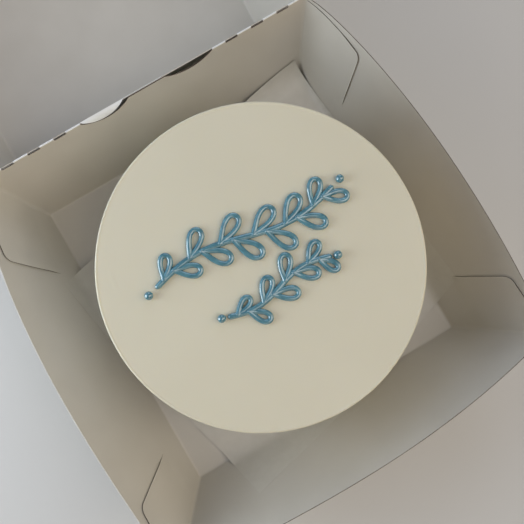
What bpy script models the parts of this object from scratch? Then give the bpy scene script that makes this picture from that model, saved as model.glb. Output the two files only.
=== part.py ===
"""Small round cake with piped trim, in an open card box whose hinged lid half lies flat behind it.

Metres, +Z up. The origin is the middle of the box floor's underside, +Y points to the hinge.
"""
import math

import bmesh
import bpy
from mathutils import Vector

# Card box, lower half
CARD = 0.0005
RIM_HEIGHT = 0.045
FLOOR_HALF_X = 0.0687
FLOOR_HALF_Y = 0.0710
HINGE_Y = 0.0857
HINGE_HALF_X = 0.0760
RIM_GAP = 0.0008
FRONT_RIGHT = (0.0900, -0.0838)
FRONT_LEFT = (-0.0860, -0.0923)
WALL_STEPS_UP = 5
SIDE_STEPS = 21
FRONT_STEPS = 22
SKEW_RIGHT = 0.88
SKEW_LEFT = 0.74
SKEW_FRONT = 0.80
BOW_RIGHT = 0.0105
BOW_LEFT = 0.0112
BOW_FRONT = 0.0083
FULL_RIGHT = 0.70
FULL_LEFT = 0.85
FULL_FRONT = 1.0

# The lid half's floor is folded a little askew: its corners next to the hinge
LID_CORNER_RIGHT_X = 0.0623
LID_CORNER_LEFT_X = -0.0700

# Cut and creased fold line at the hinge
CUT_LENGTH = 0.0056
CUT_PITCH = 0.0122
CUT_DEPTH = 0.0006
FIRST_CUT_LEFT = -0.0673
FIRST_CUT_RIGHT = 0.0384
CUTS_EACH_SIDE = 3
CUT_SIDE = 0.0001
DIP_LEFT = (-0.0304, -0.0105, 0.0045)
DIP_RIGHT = (0.0094, 0.0320, 0.0036)
DIP_STEPS = 9
DIP_SHAPE = 0.8

# Glued end flaps of the front and back walls: side wall, whether at its back end, length at top and foot
FLAPS = (
    ("right", True, 0.0309, 0.0378),
    ("right", False, 0.0251, 0.0325),
    ("left", True, 0.0308, 0.0430),
    ("left", False, 0.0289, 0.0312),
)
FLAP_DROP_ROOT = 0.0009
FLAP_DROP_END = 0.0032
FLAP_FOOT = 0.0012
FLAP_CORNER = 0.0045
FLAP_ROOT = 0.0003
FLAP_STEPS = 7
FLAP_STEPS_UP = 8
FLAP_CROWDING = 1.6

# Greaseproof liner: corners of the flat sheet, before its edges turn up the walls
LINER_TIPS = ((0.0668, 0.0796), (-0.0825, 0.0364), (-0.0448, -0.0991), (0.0875, -0.0502))
LINER_THICK = 0.0003
LINER_LIFT = 0.0004
# For each wall: radius of the bend, and how far inside the floor's edge it starts
LINER_BENDS = {
    "right": (0.0040, 0.0039),
    "left": (0.0160, 0.0111),
    "front": (0.0100, 0.0068),
    "back": (0.0180, 0.0142),
}
LINER_BEND_STEPS = 5
LINER_STRIP = 0.016
LINER_WAVE = 0.00025
LINER_WAVE_RISE = 0.004
LINER_WAVES = (95.0, 80.0)
LINER_SLOPE = 65.0
LINER_STAND = 1.5

# Cake
CAKE_X = 0.0036
CAKE_Y = -0.0029
CAKE_RADIUS = 0.0632
CAKE_FOOT = 0.0016
CAKE_TOP = 0.0620
CAKE_CHAMFER = 0.0016
CAKE_SIDES = 90
LIP_WIDTH = 0.0018
LIP_RISE = 0.0005
LIP_ROUND = 0.0006
LIP_EDGE = 0.0002
TOP_RING = 0.7

# Piped trim
PIPE_RADIUS = 0.00118
PIPE_SIDES = 6
PIPE_SINK = 0.00035
PIPE_STEP = 0.0018
SPRAY_LENGTH = 0.078
SPRAY_SAG = 0.0036
SPRAY_X = 0.0040
SPRAY_Y = 0.0100
SPRAY_LEAF = 0.0125
SPRAY_PAIRS = 6
SPRIG_LENGTH = 0.046
SPRIG_SAG = -0.0024
SPRIG_X = 0.0060
SPRIG_Y = -0.0130
SPRIG_LEAF = 0.0100
SPRIG_PAIRS = 4
LEAF_SHAPE = 0.47
LEAF_TILT = 42.0
LEAF_STEPS = 12
LEAF_SWELL = 0.62
LEAF_TIP = 1.5
LEAF_TAPER = 0.32
LEAF_PIPE = 0.92
LEAF_START_ABOVE = 0.35
LEAF_START_BELOW = 0.75
LEAFLESS_SHARE = 0.2
BERRY_RADIUS = 0.0017
BERRY_LIFT = 0.72
BERRY_PLACE = 0.045

# Edges that turn by more than this many degrees look sharp
SHARP_ANGLE = 35.0

# Looks of each sub-part: colour, roughness
LOOKS = {
    "tray": ((0.60, 0.575, 0.53), 0.55),
    "lid": ((0.60, 0.575, 0.53), 0.55),
    "liner": ((0.62, 0.60, 0.54), 0.40),
    "cake": ((0.68, 0.63, 0.50), 0.50),
}


def clear_scene():
    for thing in list(bpy.data.objects):
        bpy.data.objects.remove(thing, do_unlink=True)


def material(name):
    colour, roughness = LOOKS[name]
    finish = bpy.data.materials.new(name)
    finish.use_nodes = True
    shader = finish.node_tree.nodes["Principled BSDF"]
    shader.inputs["Base Color"].default_value = (*colour, 1.0)
    shader.inputs["Roughness"].default_value = roughness
    shader.inputs["Metallic"].default_value = 0.0
    return finish


def make_object(name, bm, look=None):
    """Puts the mesh in the scene, with its faces pointing out."""
    bmesh.ops.recalc_face_normals(bm, faces=bm.faces[:])
    mesh = bpy.data.meshes.new(name)
    bm.to_mesh(mesh)
    bm.free()
    mesh.shade_smooth()
    mesh.set_sharp_from_angle(angle=math.radians(SHARP_ANGLE))
    thing = bpy.data.objects.new(name, mesh)
    bpy.context.scene.collection.objects.link(thing)
    if look:
        mesh.materials.append(material(look))
    return thing


def blend_points(a, b, t):
    return a[0] + (b[0] - a[0]) * t, a[1] + (b[1] - a[1]) * t


def bow_shape(t, skew, fullness):
    return max(math.sin(math.pi * t ** skew), 0.0) ** fullness


def hinge_rim_y():
    """Inner face of the back wall at the rim."""
    return HINGE_Y - RIM_GAP / 2 - CARD


FLOOR_CORNERS = {
    "back_right": (FLOOR_HALF_X, FLOOR_HALF_Y),
    "front_right": (FLOOR_HALF_X, -FLOOR_HALF_Y),
    "front_left": (-FLOOR_HALF_X, -FLOOR_HALF_Y),
    "back_left": (-FLOOR_HALF_X, FLOOR_HALF_Y),
}
LID_FLOOR_CORNERS = dict(
    FLOOR_CORNERS,
    back_right=(LID_CORNER_RIGHT_X, FLOOR_HALF_Y),
    back_left=(LID_CORNER_LEFT_X, FLOOR_HALF_Y),
)
RIM_CORNERS = {
    "back_right": (HINGE_HALF_X, hinge_rim_y()),
    "front_right": FRONT_RIGHT,
    "front_left": FRONT_LEFT,
    "back_left": (-HINGE_HALF_X, hinge_rim_y()),
}
# Each wall: from corner, to corner, bow of its rim, skew and fullness of the bow
WALLS = {
    "right": ("back_right", "front_right", BOW_RIGHT, SKEW_RIGHT, FULL_RIGHT),
    "front": ("front_right", "front_left", BOW_FRONT, SKEW_FRONT, FULL_FRONT),
    "left": ("back_left", "front_left", BOW_LEFT, SKEW_LEFT, FULL_LEFT),
    "back": ("back_left", "back_right", 0.0, 1.0, 1.0),
}
OUTWARD = {"right": (1, 0), "left": (-1, 0), "front": (0, -1), "back": (0, 1)}


def wall_point(wall, t, up, floor=FLOOR_CORNERS):
    """Point of a wall's inner face: t along the wall, up from 0 at the floor to 1 at the rim."""
    start, end, bow, skew, fullness = WALLS[wall]
    foot = blend_points(floor[start], floor[end], t)
    rim = blend_points(RIM_CORNERS[start], RIM_CORNERS[end], t)
    x, y = blend_points(foot, rim, up)
    out_x, out_y = OUTWARD[wall]
    push = bow * bow_shape(min(max(t, 0.0), 1.0), skew, fullness) * up
    z = CARD + (RIM_HEIGHT - CARD) * up
    return Vector((x + out_x * push, y + out_y * push, z))


def cut_edges():
    """Start and end of each cut in the fold line."""
    for first in (FIRST_CUT_LEFT, FIRST_CUT_RIGHT):
        for count in range(CUTS_EACH_SIDE):
            start = first + count * CUT_PITCH
            yield start, start + CUT_LENGTH


def rim_drop(x, dips):
    """How far the back wall's top edge lies below the fold line at x."""
    for start, end in cut_edges():
        if start < x < end:
            return CUT_DEPTH
    if dips:
        for start, end, depth in (DIP_LEFT, DIP_RIGHT):
            if start < x < end:
                return depth * math.sin(math.pi * (x - start) / (end - start)) ** DIP_SHAPE
    return 0.0


def back_wall_stations():
    """Places along the back wall, left to right, where its edge needs a point."""
    places = {-HINGE_HALF_X, 0.0, HINGE_HALF_X}
    for start, end in cut_edges():
        for edge in (start, end):
            places.update((edge - CUT_SIDE, edge + CUT_SIDE))
    for start, end, _ in (DIP_LEFT, DIP_RIGHT):
        for step in range(DIP_STEPS + 1):
            places.add(start + (end - start) * step / DIP_STEPS)
    return [(x + HINGE_HALF_X) / (2 * HINGE_HALF_X) for x in sorted(places)]


def perimeter():
    """Wall name and t of each point round the box, clockwise from the back left corner."""
    stations = [("back", t) for t in back_wall_stations()[:-1]]
    stations += [("right", step / SIDE_STEPS) for step in range(SIDE_STEPS)]
    stations += [("front", step / FRONT_STEPS) for step in range(FRONT_STEPS)]
    stations += [("left", 1.0 - step / SIDE_STEPS) for step in range(SIDE_STEPS)]
    return stations


def outward_normals(outline):
    """Horizontal offset directions of a closed outline, mitred at its corners."""
    result = []
    count = len(outline)
    for index in range(count):
        before = (outline[index] - outline[index - 1]).to_2d()
        after = (outline[(index + 1) % count] - outline[index]).to_2d()
        first = Vector((-before.y, before.x)).normalized()
        second = Vector((-after.y, after.x)).normalized()
        middle = (first + second).normalized()
        result.append(middle / max(middle.dot(first), 0.5))
    return result


def shell_mesh(dips, floor):
    """Floor and four walls of one box half as a single closed shell."""
    stations = perimeter()
    bm = bmesh.new()
    rings_in = []
    rings_out = []
    flat_rim = [wall_point(wall, t, 1.0, floor) for wall, t in stations]
    normals = outward_normals(flat_rim)
    for level in range(WALL_STEPS_UP + 1):
        inner = []
        outer = []
        for (wall, t), normal in zip(stations, normals):
            drop = 0.0
            if wall == "back":
                drop = rim_drop((t * 2 - 1) * HINGE_HALF_X, dips)
            up = level / WALL_STEPS_UP * (1.0 - drop / RIM_HEIGHT)
            point = wall_point(wall, t, up, floor)
            inner.append(bm.verts.new(point))
            z = point.z if level else 0.0
            outer.append(bm.verts.new((point.x + normal.x * CARD, point.y + normal.y * CARD, z)))
        rings_in.append(inner)
        rings_out.append(outer)
    count = len(stations)
    for level in range(WALL_STEPS_UP):
        for index in range(count):
            after = (index + 1) % count
            for rings in (rings_in, rings_out):
                low, high = rings[level], rings[level + 1]
                bm.faces.new((low[index], low[after], high[after], high[index]))
    for index in range(count):
        after = (index + 1) % count
        top_in, top_out = rings_in[-1], rings_out[-1]
        bm.faces.new((top_in[index], top_in[after], top_out[after], top_out[index]))
    bm.faces.new(rings_in[0])
    bm.faces.new(rings_out[0])
    bmesh.ops.triangulate(bm, faces=bm.faces[:])
    return bm


def flap_mesh(wall, from_start, top_length, foot_length, floor):
    """One end flap glued on the inner face of a side wall, let a little into it."""
    start, end = WALLS[wall][:2]
    run = (Vector(RIM_CORNERS[end]) - Vector(RIM_CORNERS[start])).length
    foot = FLAP_FOOT / RIM_HEIGHT
    sign = -OUTWARD[wall][0]
    bm = bmesh.new()
    layers = []
    for offset in (CARD, -CARD / 2):
        grid = []
        for row in range(FLAP_STEPS_UP + 1):
            rise = 1.0 - (1.0 - row / FLAP_STEPS_UP) ** FLAP_CROWDING
            line = []
            for step in range(FLAP_STEPS + 1):
                share = step / FLAP_STEPS
                drop = FLAP_DROP_ROOT + (FLAP_DROP_END - FLAP_DROP_ROOT) * share
                top = 1.0 - drop / RIM_HEIGHT
                up = foot + (top - foot) * rise
                below = (top - up) * RIM_HEIGHT
                cut_back = 0.0
                if below < FLAP_CORNER:
                    cut_back = FLAP_CORNER - math.sqrt(FLAP_CORNER ** 2 - (FLAP_CORNER - below) ** 2)
                length = foot_length + (top_length - foot_length) * up - cut_back
                t = (share * (length + FLAP_ROOT) - FLAP_ROOT) / run
                if not from_start:
                    t = 1.0 - t
                point = wall_point(wall, t, up, floor)
                point.x += sign * offset
                line.append(bm.verts.new(point))
            grid.append(line)
        layers.append(grid)
    face, back = layers
    for row in range(FLAP_STEPS_UP):
        for step in range(FLAP_STEPS):
            for grid in layers:
                bm.faces.new((grid[row][step], grid[row][step + 1],
                              grid[row + 1][step + 1], grid[row + 1][step]))
        for step in (0, FLAP_STEPS):
            bm.faces.new((face[row][step], face[row + 1][step],
                          back[row + 1][step], back[row][step]))
    for step in range(FLAP_STEPS):
        for row in (0, FLAP_STEPS_UP):
            bm.faces.new((face[row][step], face[row][step + 1],
                          back[row][step + 1], back[row][step]))
    bmesh.ops.triangulate(bm, faces=bm.faces[:])
    return bm


def keep_largest(mesh):
    """Drops the small closed pockets and scraps that a union can leave beside the main body."""
    bm = bmesh.new()
    bm.from_mesh(mesh)
    left = set(bm.faces)
    islands = []
    while left:
        island = [left.pop()]
        for face in island:
            for edge in face.edges:
                for other in edge.link_faces:
                    if other in left:
                        left.remove(other)
                        island.append(other)
        islands.append(island)
    islands.sort(key=len)
    for island in islands[:-1]:
        bmesh.ops.delete(bm, geom=island, context="FACES")
    bm.to_mesh(mesh)
    bm.free()


def fuse(base, parts):
    """Joins the parts to the base with one union, applied."""
    group = bpy.data.collections.new(base.name + "_parts")
    bpy.context.scene.collection.children.link(group)
    for piece in parts:
        bpy.context.scene.collection.objects.unlink(piece)
        group.objects.link(piece)
    union = base.modifiers.new("union", "BOOLEAN")
    union.operation = "UNION"
    union.solver = "EXACT"
    union.operand_type = "COLLECTION"
    union.collection = group
    depsgraph = bpy.context.evaluated_depsgraph_get()
    mesh = bpy.data.meshes.new_from_object(base.evaluated_get(depsgraph))
    base.modifiers.remove(union)
    base.data = mesh
    keep_largest(mesh)
    for piece in parts:
        bpy.data.objects.remove(piece, do_unlink=True)
    bpy.data.collections.remove(group)


def box_half(name, dips, floor):
    """One half of the box: shell with its four glued end flaps."""
    half = make_object(name, shell_mesh(dips, floor), look=name)
    flaps = [make_object(f"{name}_flap_{flap[0]}", flap_mesh(*flap, floor)) for flap in FLAPS]
    fuse(half, flaps)
    half.data.set_sharp_from_angle(angle=math.radians(SHARP_ANGLE))
    return half


def mirror_over_hinge(half):
    """Turns the lower half's shape into the lid half, with its origin on the hinge axis."""
    bm = bmesh.new()
    bm.from_mesh(half.data)
    for vert in bm.verts:
        vert.co.y = HINGE_Y - vert.co.y
        vert.co.z -= RIM_HEIGHT + RIM_GAP / 2
    bmesh.ops.reverse_faces(bm, faces=bm.faces[:])
    bm.to_mesh(half.data)
    bm.free()
    half.location = (0.0, HINGE_Y, RIM_HEIGHT + RIM_GAP / 2)


def wall_slope(wall, place):
    """Angle from the floor of a wall's inner face at a place along it."""
    start, end = WALLS[wall][:2]
    axis = 1 if OUTWARD[wall][0] else 0
    first = RIM_CORNERS[start][axis]
    last = RIM_CORNERS[end][axis]
    t = min(max((place - first) / (last - first), 0.0), 1.0)
    way = wall_point(wall, t, 1.0) - wall_point(wall, t, 0.0)
    out_x, out_y = OUTWARD[wall]
    return math.atan2(way.z, way.x * out_x + way.y * out_y)


def turn_up(distance, slope, radius):
    """Run and rise of the sheet, a given distance past where it starts to turn up a wall."""
    if distance <= 0.0:
        return distance, 0.0
    angle = slope + math.radians(LINER_STAND)
    arc = radius * angle
    if distance < arc:
        turned = distance / radius
        return radius * math.sin(turned), radius * (1 - math.cos(turned))
    rest = distance - arc
    run = radius * math.sin(angle) + rest * math.cos(angle)
    rise = radius * (1 - math.cos(angle)) + rest * math.sin(angle)
    return run, rise


def lay_in_box(flat_x, flat_y):
    """Place in the box of a point of the flat sheet."""
    side = "right" if flat_x > 0 else "left"
    end = "back" if flat_y > 0 else "front"
    radius_x, start_x = LINER_BENDS[side]
    radius_y, start_y = LINER_BENDS[end]
    edge_x = FLOOR_HALF_X - start_x
    edge_y = FLOOR_HALF_Y - start_y
    run_x, rise_x = turn_up(abs(flat_x) - edge_x, wall_slope(side, flat_y), radius_x)
    run_y, rise_y = turn_up(abs(flat_y) - edge_y, wall_slope(end, flat_x), radius_y)
    x = math.copysign(edge_x + run_x, flat_x)
    y = math.copysign(edge_y + run_y, flat_y)
    rise = rise_x + rise_y
    swell = math.sin(flat_x * LINER_WAVES[0]) * math.cos(flat_y * LINER_WAVES[1])
    lift = LINER_WAVE * (1 + swell) / 2 * min(rise / LINER_WAVE_RISE, 1.0)
    return Vector((x, y, CARD + LINER_LIFT + rise + lift))


def liner():
    """Thin square sheet under the cake, its four tips turned up the walls."""
    bm = bmesh.new()
    bm.faces.new([bm.verts.new((x, y, 0.0)) for x, y in LINER_TIPS])
    lines = []
    for wall, (radius, inside) in LINER_BENDS.items():
        axis = 0 if OUTWARD[wall][0] else 1
        sign = OUTWARD[wall][axis]
        half = (FLOOR_HALF_X, FLOOR_HALF_Y)[axis]
        arc = radius * math.radians(LINER_SLOPE)
        for step in range(LINER_BEND_STEPS + 1):
            lines.append((axis, sign * (half - inside + arc * step / LINER_BEND_STEPS)))
        lines.append((axis, sign * (half - inside + arc + LINER_STRIP / 2)))
    for axis, half in ((0, FLOOR_HALF_X), (1, FLOOR_HALF_Y)):
        count = int(half * 2 / LINER_STRIP)
        for step in range(count + 1):
            lines.append((axis, (step - count / 2) * LINER_STRIP))
    for axis, place in lines:
        normal = (1, 0, 0) if axis == 0 else (0, 1, 0)
        point = (place, 0, 0) if axis == 0 else (0, place, 0)
        bmesh.ops.bisect_plane(bm, geom=bm.verts[:] + bm.edges[:] + bm.faces[:],
                               plane_co=point, plane_no=normal, dist=1e-7)
    bmesh.ops.triangulate(bm, faces=bm.faces[:])
    for vert in bm.verts:
        vert.co = lay_in_box(vert.co.x, vert.co.y)
    bm.normal_update()
    top = bm.faces[:]
    bmesh.ops.solidify(bm, geom=top, thickness=LINER_THICK)
    lowest = min(vert.co.z for vert in bm.verts)
    bmesh.ops.translate(bm, verts=bm.verts[:], vec=(0, 0, CARD + LINER_LIFT - lowest))
    return make_object("liner", bm, look="liner")


def cake_profile():
    """Radius and height of the cake's outline, from the middle of its foot to the middle of its top."""
    side = CAKE_RADIUS
    return [
        (0.0, CAKE_FOOT),
        (side - CAKE_CHAMFER, CAKE_FOOT),
        (side, CAKE_FOOT + CAKE_CHAMFER),
        (side, CAKE_TOP - LIP_ROUND),
        (side - LIP_EDGE, CAKE_TOP + LIP_RISE / 2),
        (side - LIP_WIDTH / 3, CAKE_TOP + LIP_RISE),
        (side - LIP_WIDTH, CAKE_TOP),
        (side * TOP_RING, CAKE_TOP),
        (0.0, CAKE_TOP),
    ]


def turned_mesh(profile, sides):
    """Closed solid turned about Z from a profile whose ends lie on the axis."""
    bm = bmesh.new()
    bottom = bm.verts.new((0, 0, profile[0][1]))
    top = bm.verts.new((0, 0, profile[-1][1]))
    rings = []
    for radius, z in profile[1:-1]:
        ring = []
        for step in range(sides):
            angle = 2 * math.pi * step / sides
            ring.append(bm.verts.new((radius * math.cos(angle), radius * math.sin(angle), z)))
        rings.append(ring)
    for step in range(sides):
        after = (step + 1) % sides
        bm.faces.new((bottom, rings[0][after], rings[0][step]))
        bm.faces.new((top, rings[-1][step], rings[-1][after]))
        for low, high in zip(rings, rings[1:]):
            bm.faces.new((low[step], low[after], high[after], high[step]))
    return bm


def stem_point(t, length, sag, centre):
    """Point of a stem that runs left to right in a shallow S."""
    x = (t - 0.5) * length
    y = sag * math.sin(2 * math.pi * t)
    return Vector((centre[0] + x, centre[1] + y))


def stem_angle(t, length, sag):
    slope = sag * 2 * math.pi * math.cos(2 * math.pi * t) / length
    return math.atan(slope)


def leaf_outline(root, angle, length, width):
    """Closed teardrop loop that starts at its root."""
    points = []
    for step in range(LEAF_STEPS):
        turn = 2 * math.pi * step / LEAF_STEPS
        along = length * (1 - math.cos(turn)) / 2
        across = LEAF_SWELL * width * math.sin(turn) * math.sin(turn / 2) ** LEAF_TIP
        x = along * math.cos(angle) - across * math.sin(angle)
        y = along * math.sin(angle) + across * math.cos(angle)
        points.append(root + Vector((x, y)))
    return points


def tube_mesh(points, radius, closed=False):
    """Piped line on the cake's top, round, a little let in, with tapered ends."""
    bm = bmesh.new()
    count = len(points)
    rings = []
    for index, point in enumerate(points):
        before = points[index - 1] if (closed or index) else points[index]
        after = points[(index + 1) % count] if (closed or index < count - 1) else points[index]
        way = (after - before).normalized()
        side = Vector((-way.y, way.x))
        ring = []
        for step in range(PIPE_SIDES):
            angle = 2 * math.pi * (step + 0.5) / PIPE_SIDES
            across = side * (radius * math.cos(angle))
            z = CAKE_TOP + radius - PIPE_SINK + radius * math.sin(angle)
            ring.append(bm.verts.new((point.x + across.x, point.y + across.y, z)))
        rings.append(ring)
    pairs = list(zip(rings, rings[1:]))
    if closed:
        pairs.append((rings[-1], rings[0]))
    for low, high in pairs:
        for step in range(PIPE_SIDES):
            after = (step + 1) % PIPE_SIDES
            bm.faces.new((low[step], low[after], high[after], high[step]))
    if not closed:
        bm.faces.new(rings[0])
        bm.faces.new(rings[-1])
    bmesh.ops.triangulate(bm, faces=bm.faces[:])
    return bm


def berry_mesh(centre, radius):
    bm = bmesh.new()
    bmesh.ops.create_icosphere(bm, subdivisions=1, radius=radius)
    lift = CAKE_TOP + radius * BERRY_LIFT
    bmesh.ops.translate(bm, verts=bm.verts[:], vec=(centre.x, centre.y, lift))
    return bm


def spray(length, sag, centre, pairs, leaf):
    """A stem with leaf loops above and below it and a berry past each end."""
    meshes = []
    steps = max(8, int(length / PIPE_STEP))
    stem = [stem_point(step / steps, length, sag, centre) for step in range(steps + 1)]
    meshes.append(tube_mesh(stem, PIPE_RADIUS))
    for count in range(pairs):
        for sign, start in ((1, LEAF_START_ABOVE), (-1, LEAF_START_BELOW)):
            t = (count + start) / (pairs + LEAFLESS_SHARE)
            root = stem_point(t, length, sag, centre)
            angle = stem_angle(t, length, sag) + sign * math.radians(LEAF_TILT)
            size = 1.0 - LEAF_TAPER * (2 * t - 1) ** 2
            outline = leaf_outline(root, angle, leaf * size, leaf * LEAF_SHAPE * size)
            meshes.append(tube_mesh(outline, PIPE_RADIUS * LEAF_PIPE, closed=True))
    for t in (-BERRY_PLACE, 1.0 + BERRY_PLACE):
        meshes.append(berry_mesh(stem_point(t, length, sag, centre), BERRY_RADIUS))
    return meshes


def cake():
    """Smooth drum with a thin lip round its top, and the piped trim fused on."""
    body = turned_mesh(cake_profile(), CAKE_SIDES)
    bmesh.ops.translate(body, verts=body.verts[:], vec=(CAKE_X, CAKE_Y, 0.0))
    bmesh.ops.triangulate(body, faces=body.faces[:])
    drum = make_object("cake", body, look="cake")
    meshes = spray(SPRAY_LENGTH, SPRAY_SAG, (SPRAY_X, SPRAY_Y), SPRAY_PAIRS, SPRAY_LEAF)
    meshes += spray(SPRIG_LENGTH, SPRIG_SAG, (SPRIG_X, SPRIG_Y), SPRIG_PAIRS, SPRIG_LEAF)
    piping = [make_object(f"piping_{index}", mesh) for index, mesh in enumerate(meshes)]
    fuse(drum, piping)
    drum.data.set_sharp_from_angle(angle=math.radians(SHARP_ANGLE))
    return drum


def main():
    clear_scene()
    box_half("tray", True, FLOOR_CORNERS)
    lid = box_half("lid", False, LID_FLOOR_CORNERS)
    mirror_over_hinge(lid)
    liner()
    cake()


main()
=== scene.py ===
"""Looks of a small frosted cake in an open card box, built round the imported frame. Metres, +Z up."""
import math

import bmesh
import bpy
from mathutils import Matrix, Vector, noise


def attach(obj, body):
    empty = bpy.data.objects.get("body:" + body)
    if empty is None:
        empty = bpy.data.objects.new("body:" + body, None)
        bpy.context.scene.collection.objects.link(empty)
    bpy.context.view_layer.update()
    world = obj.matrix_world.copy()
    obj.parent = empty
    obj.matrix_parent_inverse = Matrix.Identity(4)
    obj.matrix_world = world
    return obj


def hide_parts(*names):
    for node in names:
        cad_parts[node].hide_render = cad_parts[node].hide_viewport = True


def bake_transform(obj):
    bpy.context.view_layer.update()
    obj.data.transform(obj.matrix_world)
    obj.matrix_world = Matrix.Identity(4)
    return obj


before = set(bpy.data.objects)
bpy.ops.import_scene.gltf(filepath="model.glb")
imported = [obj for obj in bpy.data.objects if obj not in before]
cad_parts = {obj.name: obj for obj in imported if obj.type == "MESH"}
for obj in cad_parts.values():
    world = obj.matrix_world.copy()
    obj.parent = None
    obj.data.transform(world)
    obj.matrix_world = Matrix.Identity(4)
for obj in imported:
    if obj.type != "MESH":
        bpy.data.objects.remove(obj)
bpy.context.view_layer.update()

# Camera, worked out from the photograph
CAMERA_PLACE = (-0.003242, -0.011466, 0.312835)
CAMERA_TURN = (2.89553, -0.44114, -30.31334)
PHOTO_SIDE = 524
FOCAL_PIXELS = 660.0
SENSOR = 36.0

# Softboxes: name, azimuth, elevation, distance, size, watts, colour
LIGHTS = (
    ("window_low", 290, 14, 0.50, 0.35, 1.38, (0.82, 0.91, 1.0)),
    ("window", 290, 26, 0.50, 0.35, 0.72, (0.97, 1.0, 0.97)),
    ("window_top", 312, 42, 0.50, 0.35, 0.34, (0.48, 0.65, 1.0)),
    ("room", 135, 60, 1.60, 1.30, 10.2, (1.0, 0.93, 0.89)),
    ("right", 110, 25, 1.40, 0.90, 3.9, (1.0, 0.85, 0.58)),
    ("back", 30, 25, 1.40, 0.90, 3.8, (0.66, 0.78, 1.0)),
    ("front", 200, 25, 1.40, 0.90, 1.95, (1.0, 0.68, 0.36)),
)
WORLD_COLOUR = (1.0, 1.0, 1.0)
WORLD_STRENGTH = 0.129

# Box halves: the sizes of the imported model, except for the card, which is thinner here
CARD = 0.00036
RIM_HEIGHT = 0.045
FLOOR_HALF_X = 0.0687
FLOOR_HALF_Y = 0.0710
HINGE_Y = 0.0857
HINGE_HALF_X = 0.0760
HINGE_GAP = 0.0001
FRONT_RIGHT = (0.0900, -0.0838)
FRONT_LEFT = (-0.0860, -0.0923)
SKEW_RIGHT = 0.88
SKEW_LEFT = 0.74
SKEW_FRONT = 0.80
BOW_RIGHT = 0.0105
BOW_LEFT = 0.0112
BOW_FRONT = 0.0083
FULL_RIGHT = 0.70
FULL_LEFT = 0.85
FULL_FRONT = 1.0
LID_CORNER_RIGHT_X = 0.0623
LID_CORNER_LEFT_X = -0.0700
FLOOR_FILLET = 0.0008
FLOOR_RING = 1.6
CORNER_BEND = 0.0016
BEND_STEPS = 6
WALL_ROWS = 16
WALL_STEPS = 44

# Cut and creased fold line at the hinge
CUT_LENGTH = 0.0056
CUT_PITCH = 0.0122
CUT_DEPTH = 0.0006
FIRST_CUT_LEFT = -0.0673
FIRST_CUT_RIGHT = 0.0384
CUTS_EACH_SIDE = 3
CUT_SIDE = 0.0001
DIP_LEFT = (-0.0304, -0.0078, 0.0042)
DIP_RIGHT = (0.0094, 0.0320, 0.0031)
DIP_STEPS = 24
DIP_SHAPE = 0.8
FOLD_BAND = 0.002
CREASE_TOP = 0.0004
CREASE_SUNK = 0.0006
CREASE_INNER = 0.8
CREASE_STEPS = 12
CREASE_CELL = 0.0008

# Tongue that the lid's edge bends down over the left dip, and the lip that runs on past it
TONGUE_REACH = 0.0033
TONGUE_TILT = 30.0
TONGUE_CURL = (0.4, 0.9)
TONGUE_ROOT = 0.0004
TONGUE_SUNK = 0.0001
TONGUE_LIP = 0.0002
TONGUE_LIP_RUN = (0.001, 0.002)
TONGUE_END = -0.0101
TONGUE_ROWS = 8
TONGUE_STEPS = 96
TONGUE_WELD = 0.000005

# Order of the materials on a box half
CUT_EDGE = 1
# Slot for the fold's cut edges: brown darkened into painted shade for the shadow in the slits
SHADED_FOLD_CUT = 2
# Slot for the left side's rim edges: a pale colour that is painted light where that edge faces the
# light
PAINTED_LIT_EDGE = 3
CARD_FACE = 0

# Glued end flaps: side wall, whether at its back end, length at top and foot
FLAPS = (
    ("right", True, 0.0309, 0.0378),
    ("right", False, 0.0251, 0.0325),
    ("left", True, 0.0308, 0.0430),
    ("left", False, 0.0289, 0.0312),
)
FLAP_FOOT = 0.0015
FLAP_DROP = (0.0009, 0.0032)
FLAP_CORNER = 0.0031
FLAP_LIFT = 0.00035
FLAP_THICK = 0.00034
FLAP_CLEAR = 0.00005
FLAP_SUNK = -0.00006
FLAP_ROOT_RUN = 0.0014
FLAP_FREE_RUN = 0.010
FLAP_LOOSE_FROM = 0.27
FLAP_LOOSE_OVER = 0.2
FLAP_STEPS = 28
FLAP_ROWS = 24
FLAP_ROW_POWER = 1.6

# Greaseproof liner
LINER_TIPS = ((0.0668, 0.0796), (-0.0825, 0.0364), (-0.0448, -0.0991), (0.0875, -0.0502))
LINER_THICK = 0.00006
LINER_LIFT = 0.0003
# For each wall: radius of the bend, how far it stands off, how many degrees it leans in
# and how much it clings
LINER_BENDS = {
    "right": (0.0040, 0.0003, 0.3, 1.0),
    "left": (0.0160, 0.0003, 0.3, 0.6),
    "front": (0.0100, 0.0003, 0.3, 1.0),
    "back": (0.0130, 0.0003, 2.5, 0.0),
}
LINER_WAVE = 0.0004
LINER_WAVE_SCALE = 60.0
LINER_WAVE_SEED = 0.3
LINER_FREE_RUN = (-0.001, 0.012)
LINER_HUG = 0.007
LINER_CLEAR = 0.00012
LINER_CELL = 0.0022
LINER_SMOOTH = 60.0

# Cake, its place and radius fitted to its outline in the photograph
CAKE_X = 0.0039
CAKE_Y = -0.0024
CAKE_RADIUS = 0.0633
CAKE_FOOT = 0.0012
CAKE_TOP = 0.0620
CAKE_CHAMFER = 0.0016
CAKE_SIDES = 480
FOOT_RINGS = (0.5, 0.9)
FOOT_STEPS = 4
SIDE_ROWS = 30
TOP_RINGS = 80
CAKE_SMOOTH = 75.0
EDGE_ROUND = 0.0007
EDGE_STEPS = 9
LIP_WIDTH = 0.0006
LIP_RISE = 0.00014
LIP_STEPS = 5
# The frosting's unevenness: depth and the scales of its noise round the cake and up its side
SWELL = (0.00012, 2.2, 30.0)
RIPPLE = (0.00005, 9.0, 90.0)
# The lip's: noise scale and weight of two layers, then how far they raise and lower it
LIP_LAYERS = ((3.0, 0.6), (9.0, 0.4))
LIP_SHIFT = (3.1, 0, 0)
LIP_SWING = 0.9
LIP_SINK = 0.1
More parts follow.
